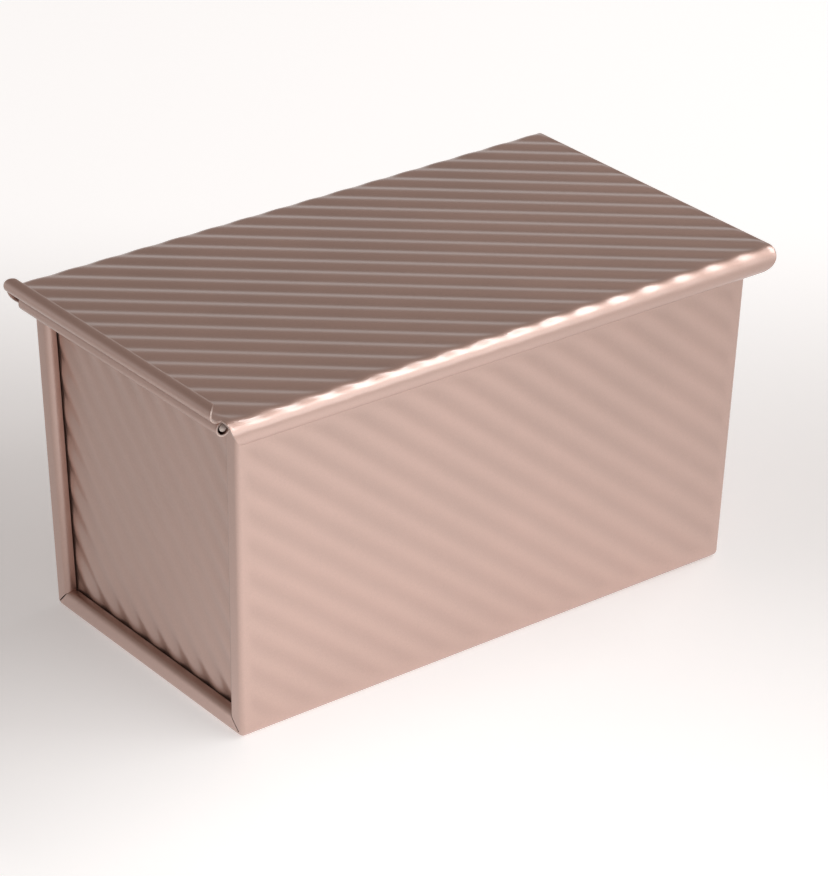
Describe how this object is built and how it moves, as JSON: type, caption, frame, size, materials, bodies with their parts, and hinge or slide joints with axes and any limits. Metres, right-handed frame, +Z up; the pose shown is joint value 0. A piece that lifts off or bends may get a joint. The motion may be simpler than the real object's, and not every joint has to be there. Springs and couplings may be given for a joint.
{
  "type": "lidded loaf tin",
  "caption": "Diagonally ribbed sheet-metal loaf tin with folded end frames, rolled side rims, wired end rims and a ribbed lid that slides off by its curled end.",
  "frame": {"origin": "middle of the base, on the rib crests that the tin stands on", "axes": "+X along the loaf, away from the lid's curled end; +Y from the front wall to the back wall; +Z up"},
  "size_m": [0.2112, 0.1202, 0.115],
  "materials": {
    "coated_sheet": "satin champagne non-stick coating on steel sheet",
    "rim_wire": "bright drawn wire, seen only at its cut ends"
  },
  "bodies": {
    "tin": {"body_wrap": "coated_sheet", "end_panel_left": "coated_sheet", "end_panel_right": "coated_sheet", "rim_wire_left": "rim_wire", "rim_wire_right": "rim_wire"},
    "cover": {"lid": "coated_sheet"}
  },
  "joints": [
    {"name": "lid_slide", "type": "slide", "parent": "tin", "child": "cover", "axis": [-1, 0, 0], "range_m": [0, 0.199]}
  ]
}
